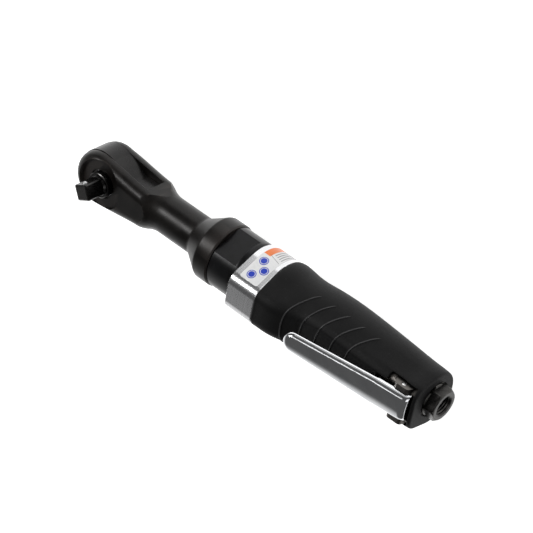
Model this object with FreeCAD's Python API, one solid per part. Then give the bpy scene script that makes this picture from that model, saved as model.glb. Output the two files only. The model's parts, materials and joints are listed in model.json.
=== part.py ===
"""Air ratchet, 3/8 in drive, as separate sub-parts in one frame.

Millimetres. X runs along the tool from head to air inlet, Z is the drive square's direction, and the
origin is where the drive axis crosses the tool axis. Each sub-part is written as parts/NODE.step.
"""
import FreeCAD, Part
import math
import os

V = FreeCAD.Vector
X_AXIS = V(1, 0, 0)
Y_AXIS = V(0, 1, 0)
Z_AXIS = V(0, 0, 1)

# ---- driving dimensions ----------------------------------------------------------------------------
SQUARE = 9.525            # drive square across flats, 3/8 in
SQUARE_TURN = 28.5        # rest angle of the square about Z, degrees
RUN = 0.03                # radial running clearance
GAP = 0.05                # clearance between neighbouring faces

# ratchet head, about Z
NOSE_X, HEAD_R = -4.4, 16.4   # centre and radius of the rounded nose
HEAD_H = 13.6             # half thickness over both cheeks
HEAD_EDGE = 6.5           # rounding of the cheeks' outer edges
HEAD_TO = 48.0            # end of the flat-sided part, inside the round neck
SLOT_H = 6.4              # half height of the slot between the cheeks
SLOT_END = 30.0
SPOT_R = 14.5             # spot-faced seat around the drive, on both faces
SPOT_Z = 11.0
SPINDLE_R = 9.0
JOURNAL_R = 7.0
COLLAR_R = 7.7            # collar above the retaining ring
COLLAR_TO = 14.3
SQUARE_FROM, SQUARE_TIP = 15.5, 27.3
BALL_DROP = 4.6           # detent ball below the square's tip

# ratchet housing, along X
NECK_R = 11.5
NECK_TO = 67.5
CONE_TO = 78.5
FLANGE_R = 19.3
FLANGE_END = 89.0
SPIGOT_R = 14.0
SPIGOT_END = 100.45

# crank and planetary train, along X
THROW = 1.4
CRANK_PIN_R = 2.6
BUSHING_R = 4.0
CRANK_FRONT = 31.0
SHAFT_R = 6.0
CARRIER_R = 9.6
CARRIER_FROM, CARRIER_TO = 78.0, 83.5
BEARING_FROM, BEARING_TO = 46.0, 66.0
BEARING_R = 9.0
MODULE = 0.5
SUN_TEETH, PLANET_TEETH, RING_TEETH = 12, 15, 42
PLANETS = 3
BACKLASH = 0.10           # taken from each gear's teeth
PLANET_ORBIT = MODULE * (SUN_TEETH + PLANET_TEETH) / 2
PLANET_FROM, PLANET_TO = 84.5, 94.5
PLANET_PIN_R = 1.2
RING_FROM, RING_TO = 84.0, 97.0
RING_R = 12.7

# air motor, along X
NUT_R = 18.5
NUT_FROM, NUT_TO = 89.2, 108.8
NUT_FLATS = 31.0
NOSE_R = 13.2
NOSE_FROM = 101.0
ADAPTER_R = 16.0
MOTOR_R = 14.6
FRONT_PLATE_FROM, LINER_FROM = 116.0, 122.5
LINER_TO, REAR_PLATE_TO = 170.0, 177.0
BORE_END = 178.1
ROTOR_R = 10.9
LINER_BORE_R = 12.1
LINER_OFFSET = 1.1
ROTOR_SHAFT_R = 4.2
MOTOR_BEARING_R = 9.5
MOTOR_BEARING_W = 5.0
VANES = 5
VANE_T = 1.5
VANE_DEPTH = 5.8

# motor housing, along X
BAND_FROM, BAND_TO = 109.0, 128.2
BODY_END = 234.6
BOOT_END = 236.5           # the grip's end wall reaches past the metal body
BAND_SECTION = (19.3, 5.5, 16.8, 7.4)     # round radius, then the lobe corner's y, z and radius
GRIP_T = 1.8

# throttle, along X
LEVER_PIN_X, LEVER_PIN_Z = 226.0, 16.0
LEVER_PIN_R = 1.5
LEVER_FRONT_X, LEVER_EAR_X, LEVER_REAR_X = 154.5, 212.0, 232.8
LEVER_FRONT_Z, LEVER_REAR_Z = 30.0, 22.6      # top of the lever at its tip and above the pivot
LEVER_TIP_R, LEVER_HALF_W = 6.2, 8.4
SHEET = 1.6
LUG_IN, LUG_OUT = 8.7, 11.9
PIN_X = 206.0
THROTTLE_PIN_R = 1.75
VALVE_SEAT_X = 220.0
VALVE_R = 6.2
CHAMBER_R = 8.65

# air inlet, along X
INLET_FLATS = 17.46       # 11/16 in across flats
INLET_BORE_R = 5.56       # 1/4 in pipe thread, minor radius
INLET_FROM, HEX_FROM, HEX_TO = 229.5, 236.8, 243.2
SEAL_TO = BODY_END + 1.0
COLLAR_OUT_R = 9.5
SCREEN_R = 6.4
SCREEN_TO = 232.4


# ---- basic solids ----------------------------------------------------------------------------------
def rod_x(radius, x0, x1, y=0.0, z=0.0):
    """Solid cylinder along X."""
    return Part.makeCylinder(radius, x1 - x0, V(x0, y, z), X_AXIS)


def rod_y(radius, y0, y1, x=0.0, z=0.0):
    return Part.makeCylinder(radius, y1 - y0, V(x, y0, z), Y_AXIS)


def rod_z(radius, z0, z1, x=0.0, y=0.0):
    return Part.makeCylinder(radius, z1 - z0, V(x, y, z0), Z_AXIS)


def ring_x(outer, inner, x0, x1):
    return rod_x(outer, x0, x1).cut(rod_x(inner, x0 - 1, x1 + 1))


def ring_z(outer, inner, z0, z1):
    return rod_z(outer, z0, z1).cut(rod_z(inner, z0 - 1, z1 + 1))


def block(x0, x1, y0, y1, z0, z1):
    return Part.makeBox(x1 - x0, y1 - y0, z1 - z0, V(x0, y0, z0))


def turned_x(outline):
    """Solid turned about X from (x, radius) points, closed along the axis."""
    first, last = outline[0], outline[-1]
    points = [V(first[0], 0, 0)] + [V(x, 0, r) for x, r in outline] + [V(last[0], 0, 0)]
    wire = Part.makePolygon(points + points[:1])
    return Part.Face(wire).revolve(V(0, 0, 0), X_AXIS, 360)


def turned_z(outline):
    """Solid turned about Z from (radius, z) points, closed along the axis."""
    first, last = outline[0], outline[-1]
    points = [V(0, 0, first[1])] + [V(r, 0, z) for r, z in outline] + [V(0, 0, last[1])]
    wire = Part.makePolygon(points + points[:1])
    return Part.Face(wire).revolve(V(0, 0, 0), Z_AXIS, 360)


def prism(points, direction):
    """Solid swept from a closed polygon of points along a vector."""
    return Part.Face(Part.makePolygon(points + points[:1])).extrude(direction)


def hexagon_x(flats, x0, x1, first_corner=90.0):
    """Hexagonal bar along X with a corner at first_corner degrees from Y towards Z."""
    corner = flats / 2 / math.cos(math.radians(30))
    angles = [math.radians(first_corner + 60 * i) for i in range(6)]
    points = [V(x0, corner * math.cos(a), corner * math.sin(a)) for a in angles]
    return prism(points, V(x1 - x0, 0, 0))


def turned_about_z(shape, degrees):
    turned = shape.copy()
    turned.rotate(V(0, 0, 0), Z_AXIS, degrees)
    return turned


def around_x(shape, count, start=0.0):
    """Copies of a shape spaced evenly about X."""
    copies = []
    for i in range(count):
        turned = shape.copy()
        turned.rotate(V(0, 0, 0), X_AXIS, start + 360.0 * i / count)
        copies.append(turned)
    return copies


def torus_x(major, minor, x):
    return Part.makeTorus(major, minor, V(x, 0, 0), X_AXIS)


def fused(shapes):
    solid = shapes[0]
    for shape in shapes[1:]:
        solid = solid.fuse(shape)
    return solid.removeSplitter()


def rounded(shape, radius, picks):
    """Fillet the edges for which picks(edge) is true."""
    edges = [edge for edge in shape.Edges if picks(edge)]
    return shape.makeFillet(radius, edges) if edges else shape


def softened(shape, radius, picks):
    """Fillet each picked edge that takes the radius, and leave the others sharp."""
    result = shape
    for edge in [e for e in shape.Edges if picks(e)]:
        middle = edge.CenterOfMass
        twins = [e for e in result.Edges if e.CenterOfMass.distanceToPoint(middle) < 0.3 and
                 abs(e.Length - edge.Length) < 0.35 * edge.Length]
        if not twins:
            continue
        try:
            trial = result.makeFillet(radius, twins[:1])
        except Part.OCCError:
            continue
        if trial.isValid() and len(trial.Solids) == 1:
            result = trial
    return result


def bevelled(shape, size, picks):
    edges = [edge for edge in shape.Edges if picks(edge)]
    return shape.makeChamfer(size, edges) if edges else shape


def involute_gear(teeth, tip_r, root_r, backlash, x0, x1, phase=0.0):
    """External spur gear along X: flanks from an involute, one tooth centred on +Y plus phase."""
    pitch_r = MODULE * teeth / 2
    pressure = math.radians(25)
    base_r = pitch_r * math.cos(pressure)
    involute = math.tan(pressure) - pressure
    half_tooth = math.pi / 2 / teeth - backlash / 2 / pitch_r + involute
    flank = []
    for step in range(5):
        r = max(base_r, root_r) + (tip_r - max(base_r, root_r)) * step / 4
        roll = math.acos(min(1.0, base_r / r))
        flank.append((r, half_tooth - (math.tan(roll) - roll)))
    points = []
    for tooth in range(teeth):
        centre = 2 * math.pi * tooth / teeth + phase
        gap = math.pi / teeth
        root_angle = min(half_tooth, gap * 0.92)
        points.append((root_r, centre - root_angle))
        points += [(r, centre - a) for r, a in flank]
        points += [(r, centre + a) for r, a in reversed(flank)]
        points.append((root_r, centre + root_angle))
    unique = []
    for r, a in points:
        p = V(x0, r * math.cos(a), r * math.sin(a))
        if not unique or p.distanceToPoint(unique[-1]) > 1e-4:
            unique.append(p)
    return prism(unique, V(x1 - x0, 0, 0))


def lobe_wire(x, radius, corner_y, corner_z, corner_r, grow=0.0):
    """Section at x: a circle about the axis with a flat-topped lobe above it. The lobe has two round
    corners, joined to the circle by common tangents."""
    big, corner = radius + grow, corner_r + grow
    apart = math.hypot(corner_y, corner_z)
    lean = math.atan2(corner_y, corner_z) + math.acos((big - corner) / apart)
    low = V(x, big * math.sin(lean), big * math.cos(lean))
    high = V(x, corner_y + corner * math.sin(lean), corner_z + corner * math.cos(lean))
    crest = V(x, corner_y + corner * math.sin(lean / 2), corner_z + corner * math.cos(lean / 2))
    top = V(x, corner_y, corner_z + corner)
    low_2, high_2, crest_2, top_2 = [V(x, -p.y, p.z) for p in (low, high, crest, top)]
    return Part.Wire([Part.Arc(low_2, V(x, 0, -big), low).toShape(), Part.makeLine(low, high),
                      Part.Arc(high, crest, top).toShape(), Part.makeLine(top, top_2),
                      Part.Arc(top_2, crest_2, high_2).toShape(), Part.makeLine(high_2, low_2)])


# ---- ratchet head ----------------------------------------------------------------------------------
def spline(points, start_way, end_way):
    curve = Part.BSplineCurve()
    curve.interpolate(points, InitialTangent=start_way, FinalTangent=end_way)
    return curve.toShape()


def head_plate():
    """Both cheeks as one block: a round nose, sides that taper towards the neck, rounded outer edges."""
    turn = math.radians(83.0)
    side = [V(NOSE_X + HEAD_R * math.cos(turn), HEAD_R * math.sin(turn), -HEAD_H), V(10.0, 14.75, -HEAD_H),
            V(20.0, 13.25, -HEAD_H), V(28.0, 12.25, -HEAD_H), V(36.0, 11.75, -HEAD_H),
            V(HEAD_TO, 11.7, -HEAD_H)]
    mirror = [V(p.x, -p.y, p.z) for p in side]
    upper = spline(side, V(math.sin(turn), -math.cos(turn), 0), X_AXIS)
    lower = spline(mirror, V(math.sin(turn), math.cos(turn), 0), X_AXIS)
    nose = Part.Arc(side[0], V(NOSE_X - HEAD_R, 0, -HEAD_H), mirror[0]).toShape()
    back = Part.makeLine(side[-1], mirror[-1])
    outline = Part.Wire(Part.__sortEdges__([nose, upper, back, lower]))
    plate = Part.Face(outline).extrude(V(0, 0, 2 * HEAD_H))
    return rounded(plate, HEAD_EDGE, lambda e: abs(abs(e.CenterOfMass.z) - HEAD_H) < 0.01 and
                   e.CenterOfMass.x < HEAD_TO - 1)


def neck_and_flange():
    """Turned outline of neck, cone, flange and spigot, with the shoulder that trims the head's corners."""
    shoulder = [V(26.0, 0, 16.4), V(29.0, 0, 15.9), V(32.0, 0, 15.0), V(35.0, 0, 13.7), V(38.0, 0, 12.4),
                V(41.0, 0, 11.7), V(44.5, 0, NECK_R)]
    lines = [(44.5, NECK_R), (NECK_TO, NECK_R), (CONE_TO, FLANGE_R - 0.5), (CONE_TO + 1.2, FLANGE_R),
             (FLANGE_END - 0.8, FLANGE_R), (FLANGE_END, FLANGE_R - 0.8), (FLANGE_END, SPIGOT_R),
             (SPIGOT_END, SPIGOT_R), (SPIGOT_END, 0), (-25.0, 0), (-25.0, 24.0), (26.0, 16.4)]
    corners = [V(x, 0, r) for x, r in lines]
    edges = [spline(shoulder, V(0.99, 0, -0.14), X_AXIS)]
    edges += [Part.makeLine(a, b) for a, b in zip(corners, corners[1:])]
    turned = Part.Face(Part.Wire(edges)).revolve(V(0, 0, 0), X_AXIS, 360)
    return rounded(turned, 4.0, lambda e: e.isClosed() and abs(e.CenterOfMass.x - NECK_TO) < 0.01)


def make_ratchet_housing():
    body = neck_and_flange().common(head_plate().fuse(rod_x(26.0, HEAD_TO - 0.5, SPIGOT_END + 1)))
    body = body.removeSplitter()
    for side in (1, -1):
        body = body.cut(turned_z([(SPOT_R, side * SPOT_Z), (SPOT_R + 1.6, side * (HEAD_H + 1))]))
    slot = block(NOSE_X - HEAD_R - 2, SLOT_END, -25, 25, -SLOT_H, SLOT_H)
    front_bore = rod_z(SPINDLE_R + RUN, 0, HEAD_H + 2)
    ring_groove = rod_z(SPINDLE_R + 0.9, 9.4, 10.3)
    rear_bore = rod_z(JOURNAL_R + RUN, -HEAD_H - 2, 0)
    crank_bore = turned_x([(SLOT_END - 1, 7.4), (BEARING_FROM - 0.5, 7.4),
                           (BEARING_FROM - 0.5, BEARING_R), (76.0, BEARING_R),
                           (77.0, CARRIER_R + 0.4), (RING_FROM, CARRIER_R + 0.4),
                           (RING_FROM, RING_R + 0.02), (SPIGOT_END + 1, RING_R + 0.02)])
    body = softened(body.cut(slot), 0.5, slot_edge)
    return body.cut(front_bore).cut(ring_groove).cut(rear_bore).cut(crank_bore)


def slot_edge(edge):
    """Outer edge of the slot between the cheeks."""
    box = edge.BoundBox
    flat = abs(abs(box.ZMin) - SLOT_H) < 0.01 and box.ZMax - box.ZMin < 0.01
    return flat and box.XMax <= SLOT_END + 0.01 and box.XMax - box.XMin > 4


YOKE_PROUD = 0.3          # yoke's nose stands this far out of the cheeks' nose
YOKE_TOOTH_TIP_R = 9.5
YOKE_TOOTH_ROOT_R = 10.3
YOKE_TEETH = 36
FORK_IN, FORK_OUT = 6.5, 8.6
FORK_TO = 28.0


def make_ratchet_yoke():
    """Ring with internal ratchet teeth and a two-armed fork reaching back around the drive bushing."""
    half = SLOT_H - 0.12
    ring = rod_z(HEAD_R + YOKE_PROUD, -half, half, NOSE_X)
    side = [(-2.4, HEAD_R - 0.2), (5.0, 14.6), (10.0, 12.7), (15.0, 9.9), (18.0, FORK_OUT),
            (FORK_TO, FORK_OUT)]
    arms = prism([V(x, y, -half) for x, y in side] + [V(x, -y, -half) for x, y in reversed(side)],
                 V(0, 0, 2 * half))
    body = fused([ring, arms])
    body = rounded(body, 1.2, lambda e: abs(abs(e.CenterOfMass.y) - FORK_OUT) < 0.02 and
                   abs(e.CenterOfMass.x - FORK_TO) < 0.02)
    fork_gap = fused([block(20.5, FORK_TO + 1, -FORK_IN, FORK_IN, -10, 10), rod_z(FORK_IN, -10, 10, 20.5)])
    body = body.cut(fork_gap)
    points = []
    for tooth in range(YOKE_TEETH):
        for part, radius in ((0.0, YOKE_TOOTH_TIP_R), (0.28, YOKE_TOOTH_ROOT_R), (0.72, YOKE_TOOTH_ROOT_R)):
            angle = 2 * math.pi * (tooth + part) / YOKE_TEETH
            points.append(V(radius * math.cos(angle), radius * math.sin(angle), -10))
    body = body.cut(prism(points, V(0, 0, 20)))
    return softened(body, 0.7, lambda e: abs(abs(e.CenterOfMass.z) - half) < 0.01 and e.Length > 6.0 and
                    e.BoundBox.YLength < 2 * HEAD_R and max(abs(e.BoundBox.YMax), abs(e.BoundBox.YMin)) > 9.5)


PAWL_PIN_X, PAWL_PIN_Y = 0.0, 5.6
PAWL_HALF_T = 4.6
PAWL_ROCK = 3.0           # pawl's rest tilt about its pin; it rocks as far the other way
KNOB_TURN = 25.0          # knob's rest turn about Z; it turns as far the other way
STEM_R = 2.6


def spindle_frame(shape):
    """Turn a spindle feature to the square's rest angle."""
    return turned_about_z(shape, SQUARE_TURN)


def make_drive_spindle():
    square = block(-SQUARE / 2, SQUARE / 2, -SQUARE / 2, SQUARE / 2, 8.0, SQUARE_TIP)
    square = bevelled(square, 0.9, lambda e: abs(e.CenterOfMass.z - SQUARE_TIP) < 0.01)
    square = square.common(rod_z(6.25, 8.0, SQUARE_TIP))
    body = rod_z(SPINDLE_R, -SLOT_H + 0.1, 8.0)
    collar = turned_z([(6.7, 7.9), (6.7, 10.4), (COLLAR_R, 10.4), (COLLAR_R, 12.3), (COLLAR_R - 0.5, 12.5),
                       (COLLAR_R - 0.5, 12.8), (COLLAR_R, 13.0), (COLLAR_R, COLLAR_TO - 0.4),
                       (COLLAR_R - 0.5, COLLAR_TO), (6.3, COLLAR_TO), (5.6, SQUARE_FROM)])
    journal = rod_z(JOURNAL_R, -SPOT_Z - 0.4, -SLOT_H + 0.2)
    spindle = fused([body, collar, journal, square])
    window = block(-11, 11, 1.6, 11, -PAWL_HALF_T - 0.1, PAWL_HALF_T + 0.1)
    pin_hole = rod_z(1.25, -6.0, 6.0, PAWL_PIN_X, PAWL_PIN_Y)
    knob_bore = rod_z(STEM_R + RUN, -SPOT_Z - 1, 0.0)
    ball_bore = rod_y(1.62, -0.5, 6.0, 0, SQUARE_TIP - BALL_DROP)
    return spindle_frame(spindle.cut(window).cut(pin_hole).cut(knob_bore).cut(ball_bore))


def make_drive_pawl():
    """Double-ended rocking pawl; both noses sit just inside the yoke's teeth at rest."""
    nose_r = YOKE_TOOTH_TIP_R - 0.25
    reach = 5.4
    outline = [V(-reach, 4.3, 0), V(-reach, math.sqrt(nose_r ** 2 - reach ** 2), 0),
               V(-reach + 1.0, 8.1, 0), V(0, 7.3, 0), V(reach - 1.0, 8.1, 0),
               V(reach, math.sqrt(nose_r ** 2 - reach ** 2), 0), V(reach, 4.3, 0), V(2.4, 3.7, 0),
               V(0, 3.1, 0),
               V(-2.4, 3.7, 0)]
    outline = [V(p.x, p.y, -PAWL_HALF_T) for p in outline]
    pawl = prism(outline, V(0, 0, 2 * PAWL_HALF_T))
    pawl = pawl.cut(rod_z(1.28, -7, 7, PAWL_PIN_X, PAWL_PIN_Y))
    pawl.rotate(V(PAWL_PIN_X, PAWL_PIN_Y, 0), Z_AXIS, PAWL_ROCK)
    return spindle_frame(pawl)


def make_pawl_pin():
    return spindle_frame(rod_z(1.25, -5.9, 5.9, PAWL_PIN_X, PAWL_PIN_Y))


def make_reverse_knob():
    """Knob on the back cheek: a disc with a raised finger bar, and a stem inside the spindle."""
    disc = rod_z(10.4, -SPOT_Z - 4.3, -SPOT_Z - 0.6)
    disc = rounded(disc, 1.2, lambda e: abs(e.CenterOfMass.z + SPOT_Z + 4.3) < 0.01)
    flutes = []
    for i in range(12):
        angle = 2 * math.pi * i / 12
        flutes.append(rod_z(1.3, -SPOT_Z - 6, -SPOT_Z, 11.1 * math.cos(angle), 11.1 * math.sin(angle)))
    for flute in flutes:
        disc = disc.cut(flute)
    bar = block(-8.0, 8.0, -2.2, 2.2, -SPOT_Z - 7.0, -SPOT_Z - 4.0)
    bar = rounded(bar, 1.4, lambda e: abs(abs(e.CenterOfMass.x) - 8.0) < 0.01 or
                  abs(e.CenterOfMass.z + SPOT_Z + 7.0) < 0.01)
    stem = rod_z(STEM_R, -SPOT_Z - 1.0, -0.3)
    knob = fused([disc, bar, stem])
    return knob_frame(knob.cut(rod_y(1.05, -1.7, 5.0, 0, -2.5)))


def knob_frame(shape):
    """Turn a knob feature to its rest angle in the spindle."""
    return turned_about_z(shape, SQUARE_TURN - KNOB_TURN)


def make_pawl_plunger():
    plunger = fused([rod_y(1.0, 1.0, 1.9, 0, -2.5), Part.makeSphere(1.0, V(0, 1.9, -2.5))])
    return knob_frame(plunger.common(block(-5, 5, 1.0, 4.0, -6, 2)))


def coil(radius, wire_r, pitch, height, place, axis):
    """Coil spring: a wire swept along a helix, axis along the given vector from place."""
    helix = Part.makeHelix(pitch, height, radius)
    corners = [2 * math.pi * i / 8 for i in range(8)]
    points = [V(radius + wire_r * math.cos(a), 0, wire_r * math.sin(a)) for a in corners]
    profile = Part.makePolygon(points + points[:1])
    spring = Part.Wire(helix).makePipeShell([profile], True, True)
    spring.Placement = FreeCAD.Placement(place, FreeCAD.Rotation(Z_AXIS, axis))
    return spring


def make_plunger_spring():
    return knob_frame(coil(0.75, 0.18, 0.55, 2.2, V(0, -1.5, -2.5), Y_AXIS))


def make_socket_detent_ball():
    return spindle_frame(Part.makeSphere(1.55, V(0, SQUARE / 2 - 0.75, SQUARE_TIP - BALL_DROP)))


def make_detent_spring():
    return spindle_frame(coil(1.15, 0.22, 0.5, 1.5, V(0, -0.2, SQUARE_TIP - BALL_DROP), Y_AXIS))


def make_spindle_thrust_washer():
    return ring_z(SPINDLE_R - 0.05, 6.85, 8.05, 8.75)


def make_spindle_wave_washer():
    return ring_z(SPINDLE_R - 0.1, 7.4, 8.8, 9.3)


def make_spindle_retaining_ring():
    """Internal snap ring in the front cheek's groove, split with two lugs."""
    ring = ring_z(SPINDLE_R + 0.8, 7.9, 9.5, 10.2)
    return ring.cut(block(6, 12, -1.6, 1.6, 9, 11)).removeSplitter()


# ---- crank and planetary train ---------------------------------------------------------------------
def make_crank_spindle():
    """Crank pin, web, journal and planet carrier in one piece."""
    shaft = turned_x([(CRANK_FRONT, 6.7), (36.5, 6.7), (36.5, SHAFT_R), (CARRIER_FROM, SHAFT_R),
                      (CARRIER_FROM, CARRIER_R), (CARRIER_TO, CARRIER_R)])
    pin = rod_x(CRANK_PIN_R, 22.3, CRANK_FRONT + 1, 0, THROW)
    spindle = fused([shaft, pin])
    hole = rod_x(PLANET_PIN_R, CARRIER_FROM - 1, CARRIER_TO + 1, PLANET_ORBIT)
    for pin_hole in around_x(hole, PLANETS):
        spindle = spindle.cut(pin_hole)
    return bevelled(spindle, 0.5, lambda e: e.isClosed() and abs(e.CenterOfMass.x - 22.3) < 0.01)


def make_drive_bushing():
    """Barrel-faced bushing on the crank pin, inside the yoke's fork."""
    outline = []
    steps = 8
    for i in range(steps + 1):
        along = -1 + 2 * i / steps
        outline.append((25.8 + 3.0 * along, BUSHING_R - 0.45 * along ** 2))
    bushing = turned_x(outline)
    bushing.translate(V(0, 0, THROW))
    return bushing.cut(rod_x(CRANK_PIN_R + RUN, 20, 32, 0, THROW))


def make_crank_bearing():
    """Drawn-cup needle bearing: cup with inturned lips and loose needles."""
    cup = ring_x(BEARING_R - 0.01, 7.9, BEARING_FROM, BEARING_TO)
    lips = [ring_x(8.0, 6.4, BEARING_FROM, BEARING_FROM + 0.8),
            ring_x(8.0, 6.4, BEARING_TO - 0.8, BEARING_TO)]
    shell = fused([cup] + lips)
    needle = rod_x(0.9, BEARING_FROM + 1.2, BEARING_TO - 1.2, SHAFT_R + RUN + 0.9)
    needles = around_x(needle, 20)
    return Part.makeCompound([shell] + needles)


def planet_pin():
    return rod_x(PLANET_PIN_R, CARRIER_FROM + 0.2, PLANET_TO + 0.8, PLANET_ORBIT)


def make_planet_pins():
    return Part.makeCompound(around_x(planet_pin(), PLANETS))


def make_planet_gear(index):
    """Planet in mesh with the sun and the ring at rest."""
    tip = MODULE * (PLANET_TEETH / 2 + 0.8)
    root = MODULE * (PLANET_TEETH / 2 - 1.0)
    turn = math.pi + math.pi / PLANET_TEETH
    gear = involute_gear(PLANET_TEETH, tip, root, BACKLASH, PLANET_FROM, PLANET_TO, turn)
    gear = gear.cut(rod_x(PLANET_PIN_R + RUN, PLANET_FROM - 1, PLANET_TO + 1))
    orbit = math.radians(360.0 / PLANETS * index)
    # carrying the planet round the sun by the orbit angle rolls it by (sun + planet) / planet of that angle
    roll = orbit * (SUN_TEETH + PLANET_TEETH) / PLANET_TEETH
    gear.rotate(V(0, 0, 0), X_AXIS, math.degrees(roll))
    gear.translate(V(0, PLANET_ORBIT * math.cos(orbit), PLANET_ORBIT * math.sin(orbit)))
    return gear


def make_ring_gear():
    """Internal gear: a blank with tooth spaces cut in the shape of an external gear's teeth."""
    tip = MODULE * (RING_TEETH / 2 - 0.8)
    root = MODULE * (RING_TEETH / 2 + 1.0)
    spaces = involute_gear(RING_TEETH, root, tip, -BACKLASH, RING_FROM - 1, RING_TO + 1, ring_phase())
    return rod_x(RING_R, RING_FROM, RING_TO).cut(spaces)


def ring_phase():
    """Angle of a ring tooth space that meets the first planet's outer tooth."""
    # first planet has its tooth centres at pi + pi / teeth + k * 2 pi / teeth; find the one nearest to zero
    pitch = 2 * math.pi / PLANET_TEETH
    tooth = math.pi + math.pi / PLANET_TEETH
    nearest = (tooth + pitch / 2) % pitch - pitch / 2
    return nearest * PLANET_TEETH / RING_TEETH


# ---- coupling --------------------------------------------------------------------------------------
def make_coupling_nut():
    """Captive nut with two wrench flats; its rear lip pulls the retaining ring forward."""
    body = turned_x([(NUT_FROM, NUT_R - 0.5), (NUT_FROM + 0.5, NUT_R), (NUT_TO - 2.4, NUT_R),
                     (NUT_TO - 0.9, NUT_R - 0.6), (NUT_TO, NUT_R - 1.8)])
    for side in (1, -1):
        z0, z1 = sorted((side * NUT_FLATS / 2, side * (NUT_R + 5)))
        flat = block(NUT_FROM - 1, NUT_TO - 3.4, -25, 25, z0, z1)
        flat.rotate(V(0, 0, 0), X_AXIS, NUT_FLAT_TURN)
        body = body.cut(flat)
    bore = turned_x([(NUT_FROM - 1, SPIGOT_R + 0.03), (SPIGOT_END, SPIGOT_R + 0.03),
                     (SPIGOT_END, 14.75), (104.2, 14.75), (104.2, NOSE_R + 0.03),
                     (NUT_TO + 1, NOSE_R + 0.03)])
    return body.cut(bore)


NUT_FLAT_TURN = -68.0     # direction of one flat's normal from Z, turned about X


def make_nut_retaining_ring():
    ring = ring_x(14.6, 12.55, 102.9, 104.1)
    return ring.cut(block(102, 105, -1.5, 1.5, -20, 0)).removeSplitter()


# ---- air motor -------------------------------------------------------------------------------------
def ball_bearing(x0, x1, outer, inner):
    """Rings, balls and a shield on each side, as separate solids."""
    mid = (outer + inner) / 2
    ball_r = (outer - inner) * 0.28
    middle = (x0 + x1) / 2
    race = torus_x(mid, ball_r + 0.05, middle)
    outer_ring = ring_x(outer, mid + ball_r * 0.62, x0, x1).cut(race)
    inner_ring = ring_x(mid - ball_r * 0.62, inner, x0, x1).cut(race)
    balls = around_x(Part.makeSphere(ball_r, V(middle, mid, 0)), 8)
    return Part.makeCompound([outer_ring, inner_ring] + balls)


def make_gear_thrust_washer():
    """Washer that keeps the planets on their pins."""
    return ring_x(RING_R, ROTOR_SHAFT_R + 0.8, RING_TO + 0.05, RING_TO + 1.4)


def make_motor_adapter():
    """Screwed into the motor housing's front; its nose carries the nut's retaining ring."""
    body = turned_x([(NOSE_FROM, NOSE_R - 0.6), (NOSE_FROM + 0.6, NOSE_R), (102.8, NOSE_R), (102.8, 12.5),
                     (104.2, 12.5), (104.2, NOSE_R), (BAND_FROM + 0.2, NOSE_R), (BAND_FROM + 0.2, ADAPTER_R),
                     (FRONT_PLATE_FROM - 0.02, ADAPTER_R)])
    return body.cut(rod_x(10.2, NOSE_FROM - 1, FRONT_PLATE_FROM + 1))


def make_front_end_plate():
    plate = rod_x(MOTOR_R, FRONT_PLATE_FROM, LINER_FROM)
    pocket = rod_x(MOTOR_BEARING_R, FRONT_PLATE_FROM - 1, FRONT_PLATE_FROM + 0.1 + MOTOR_BEARING_W)
    shaft_hole = rod_x(ROTOR_SHAFT_R + 0.5, FRONT_PLATE_FROM - 1, LINER_FROM + 1)
    return plate.cut(pocket).cut(shaft_hole).cut(pin_hole_x())


def pin_hole_x():
    return rod_x(1.0, LINER_FROM - 3.0, LINER_TO + 3.0, 0, 12.9)


def make_cylinder_pin():
    return rod_x(0.98, LINER_FROM - 2.8, LINER_TO + 2.8, 0, 12.9)


def make_front_bearing():
    x0 = FRONT_PLATE_FROM + 0.05
    return ball_bearing(x0, x0 + MOTOR_BEARING_W, MOTOR_BEARING_R - 0.01, ROTOR_SHAFT_R + 0.02)


def make_cylinder_liner():
    """Sleeve with an eccentric bore, inlet slots low on the sides and exhaust slots at the top."""
    liner = rod_x(MOTOR_R, LINER_FROM, LINER_TO).cut(
        rod_x(LINER_BORE_R, LINER_FROM - 1, LINER_TO + 1, 0, -LINER_OFFSET)).cut(pin_hole_x())
    for i in range(5):
        x = LINER_FROM + 10.0 + 7.0 * i
        for side in (1, -1):
            port = rod_y(1.6, 0, 20, x, 0)
            port.rotate(V(x, 0, 0), X_AXIS, -35 if side > 0 else -145)
            liner = liner.cut(port)
    return liner


def vane_slot(i):
    half_slot = VANE_T / 2 + 0.05
    slot = block(LINER_FROM, LINER_TO, -half_slot, half_slot, ROTOR_R - VANE_DEPTH - 0.1, ROTOR_R + 1)
    slot.rotate(V(0, 0, 0), X_AXIS, 360.0 / VANES * i)
    return slot


def make_rotor():
    """Slotted rotor with journals; the sun pinion is cut on its front shaft."""
    body = rod_x(ROTOR_R, LINER_FROM + 0.12, LINER_TO - 0.12)
    for i in range(VANES):
        body = body.cut(vane_slot(i))
    front = rod_x(ROTOR_SHAFT_R, PLANET_TO + 0.8, LINER_FROM + 1)
    rear = rod_x(ROTOR_SHAFT_R, LINER_TO - 1, REAR_PLATE_TO - 0.4)
    tip = MODULE * (SUN_TEETH / 2 + 0.8)
    root = MODULE * (SUN_TEETH / 2 - 1.0)
    sun = involute_gear(SUN_TEETH, tip, root, BACKLASH, PLANET_FROM, PLANET_TO + 1.0)
    return fused([body, front, rear, sun])


def make_rotor_vane(i):
    """Vane at the bottom of its slot."""
    vane = block(LINER_FROM + 0.15, LINER_TO - 0.15, -VANE_T / 2, VANE_T / 2,
                 ROTOR_R - VANE_DEPTH, ROTOR_R - 0.05)
    vane.rotate(V(0, 0, 0), X_AXIS, 360.0 / VANES * i)
    return vane


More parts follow.
